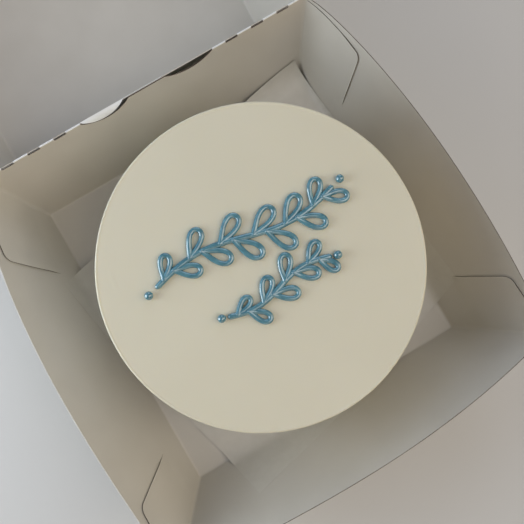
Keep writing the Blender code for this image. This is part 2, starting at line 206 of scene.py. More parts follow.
# The top's: depth and noise scale, and where it fades out before the edge
TOP_WAVE = 0.00007
TOP_WAVE_SCALE = 45.0
TOP_FADE = (0.004, 0.0012)
TOP_FROM = 0.004
RIM_BAND = 0.0007
# Nicks in the lip: angle in degrees from +X, width and depth
NICKS = ((-115.6, 0.0016, 0.00035), (-68.2, 0.0016, 0.00035), (-137.7, 0.0010, 0.00020))
NICK_RUN = (0.0025, 0.0008)
# Strokes the palette knife left on the top: ends and height
KNIFE_MARKS = (
    ((0.0514, -0.0240), (0.0488, -0.0375), 0.00008),
    ((-0.0505, 0.0285), (-0.0522, 0.0175), 0.00008),
    ((-0.0242, -0.0428), (-0.0222, -0.0440), 0.00012),
    ((-0.0055, 0.0453), (0.0004, 0.0418), 0.00005),
    ((0.0325, 0.0418), (0.0362, 0.0398), 0.00005),
)
KNIFE_WIDTH = 0.0009
KNIFE_ENDS = (0.02, 0.98)

# Piped trim
PIPE_RADIUS = 0.00118
PIPE_SIDES = 14
PIPE_SINK = 0.00035
PIPE_STEP = 0.0005
PIPE_FLAT = 0.94
PIPE_UNEVEN = 0.10
PIPE_NOISE = 260.0
PIPE_TIP = 0.02
PIPE_SMOOTH = 60.0
# Each sprig: length, sag, middle, pairs of leaves and a leaf's length
SPRAY = (0.078, 0.0036, (0.0040, 0.0100), 6, 0.0125)
SPRIG = (0.046, -0.0024, (0.0060, -0.0130), 4, 0.0100)
LEAF_SHAPE = 0.47
LEAF_TILT = 42.0
LEAF_STEPS = 44
LEAF_SWELL = 0.62
LEAF_TIP = 1.5
LEAF_TAPER = 0.32
LEAF_PIPE = 0.92
LEAF_OVER = 0.0004
LEAF_CROSSING = 0.22
LEAF_START_ABOVE = 0.35
LEAF_START_BELOW = 0.75
LEAFLESS_SHARE = 0.2
BERRY_RADIUS = 0.0017
BERRY_SIDES = 24
BERRY_ROWS = 16
BERRY_LIFT = 0.72
BERRY_PLACE = 0.045

# Materials: range of a noise that the tints and roughness spread over, and the card's sheen
NOISE_LOW = 0.3
NOISE_HIGH = 0.7
CARD_ROUGHNESS = 0.55
CARD_ROUGHNESS_SPREAD = 0.06

# Stage
STAGE_HALF = 2.5
STAGE_DROP = 0.0002


def blend_points(a, b, t):
    return a[0] + (b[0] - a[0]) * t, a[1] + (b[1] - a[1]) * t


def smooth_step(low, high, value):
    t = min(max((value - low) / (high - low), 0.0), 1.0)
    return t * t * (3 - 2 * t)


RIM_Y = HINGE_Y - HINGE_GAP / 2 - CARD
FLOOR_CORNERS = {
    "back_right": (FLOOR_HALF_X, FLOOR_HALF_Y),
    "front_right": (FLOOR_HALF_X, -FLOOR_HALF_Y),
    "front_left": (-FLOOR_HALF_X, -FLOOR_HALF_Y),
    "back_left": (-FLOOR_HALF_X, FLOOR_HALF_Y),
}
LID_FLOOR_CORNERS = dict(
    FLOOR_CORNERS,
    back_right=(LID_CORNER_RIGHT_X, FLOOR_HALF_Y),
    back_left=(LID_CORNER_LEFT_X, FLOOR_HALF_Y),
)
RIM_CORNERS = {
    "back_right": (HINGE_HALF_X, RIM_Y),
    "front_right": FRONT_RIGHT,
    "front_left": FRONT_LEFT,
    "back_left": (-HINGE_HALF_X, RIM_Y),
}
# Each wall: from corner, to corner, bow of its rim, skew and fullness of the bow
WALLS = {
    "right": ("back_right", "front_right", BOW_RIGHT, SKEW_RIGHT, FULL_RIGHT),
    "front": ("front_right", "front_left", BOW_FRONT, SKEW_FRONT, FULL_FRONT),
    "left": ("back_left", "front_left", BOW_LEFT, SKEW_LEFT, FULL_LEFT),
    "back": ("back_left", "back_right", 0.0, 1.0, 1.0),
}
OUTWARD = {"right": (1, 0), "left": (-1, 0), "front": (0, -1), "back": (0, 1)}
# Clockwise round the box from the back left corner: wall, and whether it is walked end to start
ROUND = (("back", False), ("right", False), ("front", False), ("left", True))


def wall_point(wall, t, up, floor=FLOOR_CORNERS):
    """Point of a wall's inner face: t along the wall, up from 0 at the floor to 1 at the rim."""
    start, end, bow, skew, fullness = WALLS[wall]
    foot = blend_points(floor[start], floor[end], t)
    rim = blend_points(RIM_CORNERS[start], RIM_CORNERS[end], t)
    x, y = blend_points(foot, rim, up)
    out_x, out_y = OUTWARD[wall]
    swell = max(math.sin(math.pi * min(max(t, 0.0), 1.0) ** skew), 0.0)
    push = bow * swell ** fullness * up
    z = CARD + (RIM_HEIGHT - CARD) * up
    return Vector((x + out_x * push, y + out_y * push, z))


def wall_length(wall):
    start, end = WALLS[wall][:2]
    return (Vector(RIM_CORNERS[end]) - Vector(RIM_CORNERS[start])).length


def cut_edges():
    """Start and end of each cut in the fold line."""
    for first in (FIRST_CUT_LEFT, FIRST_CUT_RIGHT):
        for count in range(CUTS_EACH_SIDE):
            start = first + count * CUT_PITCH
            yield start, start + CUT_LENGTH


def dip_depth(dip, x):
    start, end, depth = dip
    if not start < x < end:
        return 0.0
    return depth * math.sin(math.pi * (x - start) / (end - start)) ** DIP_SHAPE


def rim_drop(x, dips):
    """How far the back wall's top edge lies below the fold line at x."""
    for start, end in cut_edges():
        if start < x < end:
            return CUT_DEPTH
    return max(dip_depth(DIP_LEFT, x), dip_depth(DIP_RIGHT, x)) if dips else 0.0


def hinge_places():
    """Shares along the back wall where its top edge needs a point."""
    places = set()
    for start, end in cut_edges():
        for edge in (start, end):
            places.update((edge - CUT_SIDE, edge + CUT_SIDE))
    for start, end, _ in (DIP_LEFT, DIP_RIGHT):
        places.update(start + (end - start) * step / DIP_STEPS for step in range(DIP_STEPS + 1))
    return [(x + HINGE_HALF_X) / (2 * HINGE_HALF_X) for x in places]


def perimeter():
    """Places round the box: index into ROUND, and share of that wall or, past 1, of its corner bend."""
    places = []
    for index, (wall, _) in enumerate(ROUND):
        margin = CORNER_BEND / wall_length(wall)
        shares = {margin + (1 - 2 * margin) * step / WALL_STEPS for step in range(WALL_STEPS + 1)}
        if wall == "back":
            shares.update(hinge_places())
        places += [(index, share) for share in sorted(shares)]
        places += [(index, 1.0 + step / BEND_STEPS) for step in range(1, BEND_STEPS)]
    return places


def side_point(index, share, up, floor):
    wall, backwards = ROUND[index % 4]
    return wall_point(wall, 1.0 - share if backwards else share, up, floor)


def round_point(place, up, floor):
    """Point of the box's inner face, with its corners bent softly."""
    index, share = place
    if share <= 1.0:
        return side_point(index, share, up, floor)
    before = side_point(index, 1.0 - CORNER_BEND / wall_length(ROUND[index][0]), up, floor)
    after = side_point(index + 1, CORNER_BEND / wall_length(ROUND[(index + 1) % 4][0]), up, floor)
    corner = side_point(index, 1.0, up, floor)
    u = share - 1.0
    return before * (1 - u) ** 2 + corner * (2 * u * (1 - u)) + after * u ** 2


def floor_point(place, inset, floor):
    """Point of the floor a little in from its edge."""
    foot = round_point(place, 0.0, floor)
    share = (foot.y + FLOOR_HALF_Y) / (2 * FLOOR_HALF_Y)
    left = blend_points(floor["front_left"], floor["back_left"], share)[0]
    right = blend_points(floor["front_right"], floor["back_right"], share)[0]
    x = min(max(foot.x, left + inset), right - inset)
    y = min(max(foot.y, inset - FLOOR_HALF_Y), FLOOR_HALF_Y - inset)
    return Vector((x, y, CARD))


def shell_rows(place, dips, floor):
    """Points of the card's inner face from the floor up to the rim at one place."""
    fillet_up = FLOOR_FILLET / RIM_HEIGHT
    low = floor_point(place, FLOOR_FILLET, floor)
    foot = round_point(place, 0.0, floor)
    high = round_point(place, fillet_up, floor)
    yield floor_point(place, FLOOR_FILLET * FLOOR_RING, floor)
    for step in range(BEND_STEPS + 1):
        u = step / BEND_STEPS
        yield low * (1 - u) ** 2 + foot * (2 * u * (1 - u)) + high * u ** 2
    drop = 0.0
    if place[0] == 0 and place[1] <= 1.0:
        drop = rim_drop((place[1] * 2 - 1) * HINGE_HALF_X, dips)
    top = 1.0 - drop / RIM_HEIGHT
    for row in range(1, WALL_ROWS + 1):
        yield round_point(place, fillet_up + (top - fillet_up) * row / WALL_ROWS, floor)


def make_piece(name, bm, materials, smooth_angle=40.0):
    mesh = bpy.data.meshes.new(name)
    bm.to_mesh(mesh)
    bm.free()
    mesh.shade_smooth()
    mesh.set_sharp_from_angle(angle=math.radians(smooth_angle))
    for finish in materials:
        mesh.materials.append(finish)
    piece = bpy.data.objects.new(name, mesh)
    bpy.context.scene.collection.objects.link(piece)
    return piece


def mirror_over_hinge(bm):
    for vert in bm.verts:
        vert.co.y = 2 * HINGE_Y - vert.co.y
    bmesh.ops.reverse_faces(bm, faces=bm.faces[:])


def thicken(piece, thickness, smooth_angle=40.0):
    """Gives a sheet its thickness behind its face, with its own material on the cut edge."""
    shell = piece.modifiers.new("card", "SOLIDIFY")
    shell.thickness = thickness
    shell.offset = -1.0
    shell.use_even_offset = True
    shell.material_offset_rim = CUT_EDGE
    depsgraph = bpy.context.evaluated_depsgraph_get()
    solid = bpy.data.meshes.new_from_object(piece.evaluated_get(depsgraph), depsgraph=depsgraph)
    piece.modifiers.clear()
    piece.data = solid
    solid.name = piece.name
    solid.shade_smooth()
    solid.set_sharp_from_angle(angle=math.radians(smooth_angle))


def mark_fold_cuts(piece):
    """Sets the cut edges that differ: dark brown painted shade at the tray's fold, for the shadow
    in its slits, the card's own at the lid's, and painted light round the left side, past the hinge's
    end."""
    for face in piece.data.polygons:
        if face.material_index != CUT_EDGE:
            continue
        if abs(face.center.y - HINGE_Y) < FOLD_BAND:
            face.material_index = SHADED_FOLD_CUT if face.center.y < HINGE_Y else CARD_FACE
        elif face.center.x < -HINGE_HALF_X:
            face.material_index = PAINTED_LIT_EDGE


def box_shell(name, is_lid, materials):
    """Floor and walls of one box half, one bent sheet of card."""
    floor = LID_FLOOR_CORNERS if is_lid else FLOOR_CORNERS
    bm = bmesh.new()
    rings = [[bm.verts.new(point) for point in shell_rows(place, not is_lid, floor)]
             for place in perimeter()]
    for ring, after in zip(rings, rings[1:] + rings[:1]):
        for row in range(len(ring) - 1):
            bm.faces.new((ring[row], after[row], after[row + 1], ring[row + 1]))
    bm.faces.new([ring[0] for ring in rings])
    bmesh.ops.recalc_face_normals(bm, faces=bm.faces[:])
    floor_face = max(bm.faces, key=lambda face: face.calc_area())
    if floor_face.normal.z < 0:
        bmesh.ops.reverse_faces(bm, faces=bm.faces[:])
    if is_lid:
        mirror_over_hinge(bm)
    piece = make_piece(name, bm, materials)
    thicken(piece, CARD)
    mark_fold_cuts(piece)
    return piece


def flap_sheet(bm, wall, from_start, top_length, foot_length, floor):
    """One end flap: it leaves the corner flush with it and lifts a little at its free end."""
    run = wall_length(wall)
    inward = -OUTWARD[wall][0]
    grid = []
    for row in range(FLAP_ROWS + 1):
        rise = row / FLAP_ROWS
        line = []
        for step in range(FLAP_STEPS + 1):
            share = step / FLAP_STEPS
            drop = FLAP_DROP[0] + (FLAP_DROP[1] - FLAP_DROP[0]) * share
            top = 1.0 - drop / RIM_HEIGHT
            foot = FLAP_FOOT / RIM_HEIGHT
            up = foot + (top - foot) * (1.0 - (1.0 - rise) ** FLAP_ROW_POWER)
            below = (top - up) * RIM_HEIGHT
            cut_back = 0.0
            if below < FLAP_CORNER:
                cut_back = FLAP_CORNER - math.sqrt(FLAP_CORNER ** 2 - (FLAP_CORNER - below) ** 2)
            length = foot_length + (top_length - foot_length) * up - cut_back
            reach = share * length
            t = reach / run
            point = wall_point(wall, t if from_start else 1.0 - t, up, floor)
            loose = smooth_step(FLAP_LOOSE_FROM, FLAP_LOOSE_FROM + FLAP_LOOSE_OVER, up)
            stand = (FLAP_THICK + FLAP_CLEAR) * smooth_step(0.0, FLAP_ROOT_RUN, reach)
            free = smooth_step(length - FLAP_FREE_RUN, length, reach)
            point.x += inward * (FLAP_SUNK + (stand - FLAP_SUNK + FLAP_LIFT * free) * loose)
            line.append(bm.verts.new(point))
        grid.append(line)
    faces = []
    for low, high in zip(grid, grid[1:]):
        for step in range(FLAP_STEPS):
            faces.append(bm.faces.new((low[step], low[step + 1], high[step + 1], high[step])))
    bm.normal_update()
    if faces[0].normal.x * inward < 0:
        bmesh.ops.reverse_faces(bm, faces=faces)


def box_flaps(name, is_lid, materials):
    """The four glued end flaps of one box half."""
    floor = LID_FLOOR_CORNERS if is_lid else FLOOR_CORNERS
    bm = bmesh.new()
    for flap in FLAPS:
        flap_sheet(bm, *flap, floor)
    if is_lid:
        mirror_over_hinge(bm)
    piece = make_piece(name, bm, materials)
    thicken(piece, FLAP_THICK)
    return piece


def crease_spans():
    """Stretches of the fold line where the card is whole and bends over."""
    cuts = sorted(cut_edges())
    marks = [(-HINGE_HALF_X, cuts[0][0])]
    for before, after in zip(cuts, cuts[1:]):
        marks.append((before[1], after[0]))
    marks.append((cuts[-1][1], HINGE_HALF_X))
    spans = []
    for start, end in marks:
        if start < DIP_LEFT[0] and end > DIP_RIGHT[1]:
            spans.append((start, DIP_LEFT[0]))
            spans.append((DIP_RIGHT[1], end))
        else:
            spans.append((start, end))
    return spans


def crease_profile():
    """Cross-section of the bent card over the ridge, y and z, as a closed loop."""
    half = HINGE_GAP / 2 + CARD
    outer = []
    inner = []
    for step in range(CREASE_STEPS + 1):
        angle = math.pi * step / CREASE_STEPS
        under = CREASE_TOP - CARD * CREASE_INNER
        outer.append((-half * math.cos(angle), CREASE_TOP * math.sin(angle)))
        inner.append((-(half - CARD) * math.cos(angle), under * math.sin(angle)))
    outer = [(-half, -CREASE_SUNK)] + outer + [(half, -CREASE_SUNK)]
    inner = [(-(half - CARD), -CREASE_SUNK)] + inner + [(half - CARD, -CREASE_SUNK)]
    return outer + inner[::-1]


def creases(materials):
    """Bridges of card between the cuts, arched over the fold line."""
    bm = bmesh.new()
    profile = crease_profile()
    for start, end in crease_spans():
        rings = []
        steps = max(2, int((end - start) / CREASE_CELL))
        for step in range(steps + 1):
            x = start + (end - start) * step / steps
            rings.append([bm.verts.new((x, HINGE_Y + y, RIM_HEIGHT + z)) for y, z in profile])
        for ring, after in zip(rings, rings[1:]):
            for index in range(len(profile)):
                following = (index + 1) % len(profile)
                bm.faces.new((ring[index], ring[following], after[following], after[index]))
        for ring in (rings[0], rings[-1]):
            face = bm.faces.new(ring)
            # The bridges' ends take the second material, the fold's painted shade
            face.material_index = CUT_EDGE
    bmesh.ops.recalc_face_normals(bm, faces=bm.faces[:])
    return make_piece("fold_creases", bm, materials)


def tongue(materials):
    """Edge of the lid from the left dip to the right one: a tongue bent down over the left dip,
    then a lip over the slit."""
    start = DIP_LEFT[0]
    slit_end = DIP_RIGHT[0]
    tilt = math.radians(TONGUE_TILT)
    flat, curl = TONGUE_CURL
    rise, fall = TONGUE_LIP_RUN
    bm = bmesh.new()
    grid = []
    for step in range(TONGUE_STEPS + 1):
        x = start + (slit_end - start) * step / TONGUE_STEPS
        share = dip_depth((start, TONGUE_END, 1.0), x)
        lip = TONGUE_LIP * smooth_step(start, start + rise, x)
        lip *= 1 - smooth_step(slit_end - fall, slit_end, x)
        reach = lip + (TONGUE_REACH - TONGUE_LIP) * share
        line = []
        for row in range(TONGUE_ROWS + 1):
            out = reach * row / TONGUE_ROWS
            angle = tilt * share * (flat + curl * row / TONGUE_ROWS)
            y = HINGE_Y + TONGUE_ROOT - out * math.cos(angle)
            z = RIM_HEIGHT + CREASE_TOP - TONGUE_SUNK - out * math.sin(angle)
            line.append(bm.verts.new((x, y, z)))
        grid.append(line)
    for low, high in zip(grid, grid[1:]):
        for row in range(TONGUE_ROWS):
            bm.faces.new((low[row], high[row], high[row + 1], low[row + 1]))
    bmesh.ops.remove_doubles(bm, verts=bm.verts[:], dist=TONGUE_WELD)
    bmesh.ops.recalc_face_normals(bm, faces=bm.faces[:])
    if sum(face.normal.z for face in bm.faces) < 0:
        bmesh.ops.reverse_faces(bm, faces=bm.faces[:])
    piece = make_piece("fold_tongue", bm, materials)
    thicken(piece, CARD * 0.5)
    return piece


def wall_slope(wall, place):
    """Angle from the floor of a wall's inner face at a place along it."""
    start, end = WALLS[wall][:2]
    axis = 1 if OUTWARD[wall][0] else 0
    first = RIM_CORNERS[start][axis]
    last = RIM_CORNERS[end][axis]
    t = min(max((place - first) / (last - first), 0.0), 1.0)
    way = wall_point(wall, t, 1.0) - wall_point(wall, t, 0.0)
    out_x, out_y = OUTWARD[wall]
    return math.atan2(way.z, way.x * out_x + way.y * out_y)


def turn_up(place, half, wall, along):
    """Distance from the middle and rise of a place on the flat sheet that may turn up a wall."""
    radius, clear, lean, _ = LINER_BENDS[wall]
    angle = wall_slope(wall, along) + math.radians(lean)
    start = half - radius * math.tan(angle / 2) - clear
    distance = place - start
    if distance <= 0.0:
        return place, 0.0
    arc = radius * angle
    if distance < arc:
        turned = distance / radius
        return start + radius * math.sin(turned), radius * (1 - math.cos(turned))
    rest = distance - arc
    run = radius * math.sin(angle) + rest * math.cos(angle)
    rise = radius * (1 - math.cos(angle)) + rest * math.sin(angle)
    return start + run, rise


def wall_reach(wall, along, z):
    """How far out the liner can lie at a height, just clear of a wall's inner face."""
    start, end = WALLS[wall][:2]
    axis = 1 if OUTWARD[wall][0] else 0
    up = (z - CARD) / (RIM_HEIGHT - CARD)
    first = blend_points(FLOOR_CORNERS[start], RIM_CORNERS[start], up)[axis]
    last = blend_points(FLOOR_CORNERS[end], RIM_CORNERS[end], up)[axis]
    t = min(max((along - first) / (last - first), 0.0), 1.0)
    face = wall_point(wall, t, up)[1 - axis]
    return face - OUTWARD[wall][1 - axis] * LINER_CLEAR


def lay_in_box(flat_x, flat_y):
    """Place in the box of a point of the flat sheet."""
    side = "right" if flat_x > 0 else "left"
    end = "back" if flat_y > 0 else "front"
    out_x, rise_x = turn_up(abs(flat_x), FLOOR_HALF_X, side, flat_y)
    out_y, rise_y = turn_up(abs(flat_y), FLOOR_HALF_Y, end, flat_x)
    x = math.copysign(out_x, flat_x)
    y = math.copysign(out_y, flat_y)
    from_cake = math.hypot(x - CAKE_X, y - CAKE_Y) - CAKE_RADIUS
    loose = smooth_step(*LINER_FREE_RUN, from_cake)
    wave = noise.noise(Vector((flat_x, flat_y, LINER_WAVE_SEED)) * LINER_WAVE_SCALE) * 0.5 + 0.5
    held = smooth_step(0.0, LINER_HUG, rise_x + rise_y)
    z = CARD + rise_x + rise_y + (LINER_LIFT + loose * wave * LINER_WAVE) * (1 - held)
    x += (wall_reach(side, y, z) - x) * smooth_step(0.0, LINER_HUG, rise_x) * LINER_BENDS[side][3]
    y += (wall_reach(end, x, z) - y) * smooth_step(0.0, LINER_HUG, rise_y) * LINER_BENDS[end][3]
    return Vector((x, y, z))


def liner(materials):
    """Thin four-sided sheet under the cake, its four tips turned up the walls."""
    back, left, front, right = (Vector(tip) for tip in LINER_TIPS)
    steps_across = int((right - back).length / LINER_CELL)
    steps_down = int((left - back).length / LINER_CELL)
    bm = bmesh.new()
    grid = []
    for row in range(steps_down + 1):
        v = row / steps_down
        start = back.lerp(left, v)
        end = right.lerp(front, v)
        line = []
        for step in range(steps_across + 1):
            flat = start.lerp(end, step / steps_across)
            line.append(bm.verts.new(lay_in_box(flat.x, flat.y)))
        grid.append(line)
    for low, high in zip(grid, grid[1:]):
        for step in range(steps_across):
            bm.faces.new((low[step], low[step + 1], high[step + 1], high[step]))
    bm.normal_update()
    if sum(face.normal.z for face in bm.faces) < 0:
        bmesh.ops.reverse_faces(bm, faces=bm.faces[:])
    piece = make_piece("liner_sheet", bm, materials)
    thicken(piece, LINER_THICK, LINER_SMOOTH)
    return piece


def frosting_profile():
    """Radius and height of the cake's outline, from the foot out, up the side and in over the top."""
    side = CAKE_RADIUS
    points = [(side * share, CAKE_FOOT) for share in FOOT_RINGS]
    for step in range(FOOT_STEPS + 1):
        angle = math.pi / 2 * step / FOOT_STEPS
        radius = side - CAKE_CHAMFER * (1 - math.sin(angle))
        points.append((radius, CAKE_FOOT + CAKE_CHAMFER * (1 - math.cos(angle))))
    low = CAKE_FOOT + CAKE_CHAMFER
    high = CAKE_TOP + LIP_RISE - EDGE_ROUND
    points += [(side, low + (high - low) * row / SIDE_ROWS) for row in range(1, SIDE_ROWS + 1)]
    for step in range(1, EDGE_STEPS + 1):
        angle = math.pi / 2 * step / EDGE_STEPS
        radius = side - EDGE_ROUND * (1 - math.cos(angle))
        points.append((radius, high + EDGE_ROUND * math.sin(angle)))
    crest = side - EDGE_ROUND
    for step in range(1, LIP_STEPS + 1):
        share = step / LIP_STEPS
        height = CAKE_TOP + LIP_RISE * (1 - smooth_step(0.0, 1.0, share))
        points.append((crest - LIP_WIDTH * share, height))
    inner = crest - LIP_WIDTH
    points += [(inner * (1 - step / TOP_RINGS), CAKE_TOP) for step in range(1, TOP_RINGS)]
    return points


def frosting(materials):
    """Smooth drum of frosting with a thin uneven lip round its top."""
    bm = bmesh.new()
    profile = frosting_profile()
    rings = []
    for radius, z in profile:
        ring = []
        for step in range(CAKE_SIDES):
            angle = 2 * math.pi * step / CAKE_SIDES
            ring.append(bm.verts.new(frosting_point(radius, z, angle)))
        rings.append(ring)
    bottom = bm.verts.new((CAKE_X, CAKE_Y, CAKE_FOOT))
    top = bm.verts.new(frosting_point(0.0, CAKE_TOP, 0.0))
    for step in range(CAKE_SIDES):
        after = (step + 1) % CAKE_SIDES
        bm.faces.new((bottom, rings[0][after], rings[0][step]))
        bm.faces.new((top, rings[-1][step], rings[-1][after]))
        for low, high in zip(rings, rings[1:]):
            bm.faces.new((low[step], low[after], high[after], high[step]))
    return make_piece("frosting", bm, materials, smooth_angle=CAKE_SMOOTH)


def frosting_point(radius, z, angle):
    """Point of the frosting, with the slight unevenness that a palette knife leaves."""
    around = Vector((math.cos(angle), math.sin(angle), 0.0))
    fade_from, fade_to = TOP_FADE
    edge = smooth_step(CAKE_RADIUS - fade_from, CAKE_RADIUS - fade_to, radius)
    top = smooth_step(CAKE_TOP - TOP_FROM, CAKE_TOP, z)
    wobble = 0.0
    for depth, scale, up_scale in (SWELL, RIPPLE):
        wobble += depth * noise.noise(around * scale + Vector((0, 0, z * up_scale)))
    place = around * (radius + wobble * min(radius / CAKE_RADIUS, 1.0))
    lift = 0.0
    if z >= CAKE_TOP - RIM_BAND:
        (broad, broad_share), (fine, fine_share) = LIP_LAYERS
        lip = noise.noise(around * broad + Vector(LIP_SHIFT)) * broad_share
        lip += noise.noise(around * fine) * fine_share
        above = max(z - CAKE_TOP, 0.0)
        lift = above * (LIP_SWING * lip - LIP_SINK)
        flat = noise.noise(Vector((place.x, place.y, 0.0)) * TOP_WAVE_SCALE)
        lift += TOP_WAVE * flat * (1 - edge) * top
        lift += knife_marks(place) - nick_depth(radius, angle)
    return Vector((CAKE_X + place.x, CAKE_Y + place.y, z + lift))


def nick_depth(radius, angle):
    """How deep the lip is nicked at an angle round the cake."""
    depth = 0.0
    for at, width, deep in NICKS:
        away = abs((angle - math.radians(at) + math.pi) % (2 * math.pi) - math.pi) * CAKE_RADIUS
        depth += deep * (1 - smooth_step(0.0, width, away))
    run_from, run_to = NICK_RUN
    return depth * smooth_step(CAKE_RADIUS - run_from, CAKE_RADIUS - run_to, radius)


def knife_marks(place):
    """Height of the faint strokes on the cake's top at a place."""
    height = 0.0
    for start, end, tall in KNIFE_MARKS:
        first = Vector((*start, 0.0))
        way = Vector((*end, 0.0)) - first
        t = min(max((place - first).dot(way) / way.length_squared, 0.0), 1.0)
        away = (place - first - way * t).length
        swell = math.sin(math.pi * min(max(t, KNIFE_ENDS[0]), KNIFE_ENDS[1]))
        height += tall * (1 - smooth_step(0.0, KNIFE_WIDTH, away)) * swell
    return height


def stem_point(t, length, sag, centre):
    """Point of a stem that runs left to right in a shallow S."""
    return Vector((centre[0] + (t - 0.5) * length, centre[1] + sag * math.sin(2 * math.pi * t)))


def stem_angle(t, length, sag):
    """Direction of that stem at the share t of its length."""
    return math.atan(sag * 2 * math.pi * math.cos(2 * math.pi * t) / length)


def leaf_outline(root, angle, length, width):
    """Teardrop loop that starts at its root."""
    points = []
    for step in range(LEAF_STEPS):
        turn = 2 * math.pi * step / LEAF_STEPS
        along = length * (1 - math.cos(turn)) / 2
        across = LEAF_SWELL * width * math.sin(turn) * math.sin(turn / 2) ** LEAF_TIP
        x = along * math.cos(angle) - across * math.sin(angle)
        y = along * math.sin(angle) + across * math.cos(angle)
        points.append(root + Vector((x, y)))
    return points


def piped_line(bm, points, radius, closed=False, over=0.0):
    """Piped line on the cake's top, round, a little let in, with rounded ends."""
    count = len(points)
    rings = []
    for index, point in enumerate(points):
        before = points[index - 1] if (closed or index) else points[index]
        after = points[(index + 1) % count] if (closed or index < count - 1) else points[index]
        way = (after - before).normalized()
        side = Vector((-way.y, way.x))
        flow = 1.0 + PIPE_UNEVEN * noise.noise(Vector((point.x, point.y, radius)) * PIPE_NOISE)
        end = min(index, count - 1 - index) * (after - before).length / 2
        if not closed and end < radius:
            flow *= math.sqrt(max(1 - (1 - end / radius) ** 2, PIPE_TIP))
        near = 1.0
        if closed:
            near = smooth_step(0.0, LEAF_CROSSING, min(index, count - index) / count)
        middle = CAKE_TOP + radius - PIPE_SINK
        ring = []
        for step in range(PIPE_SIDES):
            angle = 2 * math.pi * (step + 0.5) / PIPE_SIDES
            across = side * (radius * flow * math.cos(angle))
            z = middle + radius * flow * math.sin(angle) * PIPE_FLAT + over * (1 - near)
            ring.append(bm.verts.new((point.x + across.x, point.y + across.y, z)))
        rings.append(ring)
    pairs = list(zip(rings, rings[1:]))
    if closed:
        pairs.append((rings[-1], rings[0]))
    for low, high in pairs:
        for step in range(PIPE_SIDES):
            after = (step + 1) % PIPE_SIDES
            bm.faces.new((low[step], low[after], high[after], high[step]))
    if not closed:
        bm.faces.new(rings[0])
        bm.faces.new(rings[-1])


def berry(bm, centre):
    """Round dot of icing, let a little into the cake's top."""
    middle = Vector((centre.x, centre.y, CAKE_TOP + BERRY_RADIUS * BERRY_LIFT))
    rings = []
    for row in range(1, BERRY_ROWS):
        fall = math.pi * row / BERRY_ROWS
        ring = []
        for step in range(BERRY_SIDES):
            turn = 2 * math.pi * step / BERRY_SIDES
            across = Vector((math.cos(turn), math.sin(turn), 0.0)) * math.sin(fall)
            way = across + Vector((0.0, 0.0, math.cos(fall)))
            ring.append(bm.verts.new(middle + way * BERRY_RADIUS))
        rings.append(ring)
    top = bm.verts.new(middle + Vector((0.0, 0.0, BERRY_RADIUS)))
    bottom = bm.verts.new(middle - Vector((0.0, 0.0, BERRY_RADIUS)))
    for step in range(BERRY_SIDES):
        after = (step + 1) % BERRY_SIDES
        bm.faces.new((top, rings[0][step], rings[0][after]))
        bm.faces.new((bottom, rings[-1][after], rings[-1][step]))
        for high, low in zip(rings, rings[1:]):
            bm.faces.new((high[step], low[step], low[after], high[after]))


def spray(bm, length, sag, centre, pairs, leaf):
    """A stem with leaf loops above and below it and a berry past each end."""
    steps = int(length / PIPE_STEP)
    stem = [stem_point(step / steps, length, sag, centre) for step in range(steps + 1)]
    piped_line(bm, stem, PIPE_RADIUS)
    for count in range(pairs):
        for sign, start in ((1, LEAF_START_ABOVE), (-1, LEAF_START_BELOW)):
            t = (count + start) / (pairs + LEAFLESS_SHARE)
            root = stem_point(t, length, sag, centre)
            angle = stem_angle(t, length, sag) + sign * math.radians(LEAF_TILT)
            size = 1.0 - LEAF_TAPER * (2 * t - 1) ** 2
            outline = leaf_outline(root, angle, leaf * size, leaf * LEAF_SHAPE * size)
            piped_line(bm, outline, PIPE_RADIUS * LEAF_PIPE, closed=True, over=LEAF_OVER)
    for t in (-BERRY_PLACE, 1.0 + BERRY_PLACE):
        berry(bm, stem_point(t, length, sag, centre))


def piping(materials):
    """The two piped leaf sprigs on the cake's top."""
    bm = bmesh.new()
    spray(bm, *SPRAY)
    spray(bm, *SPRIG)
    bmesh.ops.recalc_face_normals(bm, faces=bm.faces[:])
    return make_piece("piping", bm, materials, smooth_angle=PIPE_SMOOTH)


def new_material(name, colour, roughness):
    finish = bpy.data.materials.new(name)
    finish.use_nodes = True
    shader = finish.node_tree.nodes["Principled BSDF"]
    shader.inputs["Base Color"].default_value = (*colour, 1.0)
    shader.inputs["Roughness"].default_value = roughness
    return finish, finish.node_tree, shader


def noise_node(tree, scale, detail=3.0, stretch=None):
    """Noise texture in the object's own metres; stretch scales its three axes."""
    place = tree.nodes.new("ShaderNodeTexCoord")
    texture = tree.nodes.new("ShaderNodeTexNoise")
    texture.inputs["Scale"].default_value = scale
    texture.inputs["Detail"].default_value = detail
    source = place.outputs["Object"]
    if stretch:
        mapping = tree.nodes.new("ShaderNodeMapping")
        mapping.inputs["Scale"].default_value = stretch
        tree.links.new(source, mapping.inputs["Vector"])
        source = mapping.outputs["Vector"]
    tree.links.new(source, texture.inputs["Vector"])
    return texture.outputs["Fac"]


def tint(tree, shader, factor, low, high):
    """Spreads the base colour from low to high over a noise."""
    ramp = tree.nodes.new("ShaderNodeValToRGB")
    ramp.color_ramp.elements[0].position = NOISE_LOW
    ramp.color_ramp.elements[1].position = NOISE_HIGH
    ramp.color_ramp.elements[0].color = (*low, 1.0)
    ramp.color_ramp.elements[1].color = (*high, 1.0)
    tree.links.new(factor, ramp.inputs["Fac"])
    tree.links.new(ramp.outputs["Color"], shader.inputs["Base Color"])


def vary_roughness(tree, shader, factor, low, high):
    """Spreads the roughness from low to high over a noise."""
    spread = tree.nodes.new("ShaderNodeMapRange")
    spread.inputs["From Min"].default_value = NOISE_LOW
    spread.inputs["From Max"].default_value = NOISE_HIGH
    spread.inputs["To Min"].default_value = low
    spread.inputs["To Max"].default_value = high
    tree.links.new(factor, spread.inputs["Value"])
    tree.links.new(spread.outputs["Result"], shader.inputs["Roughness"])


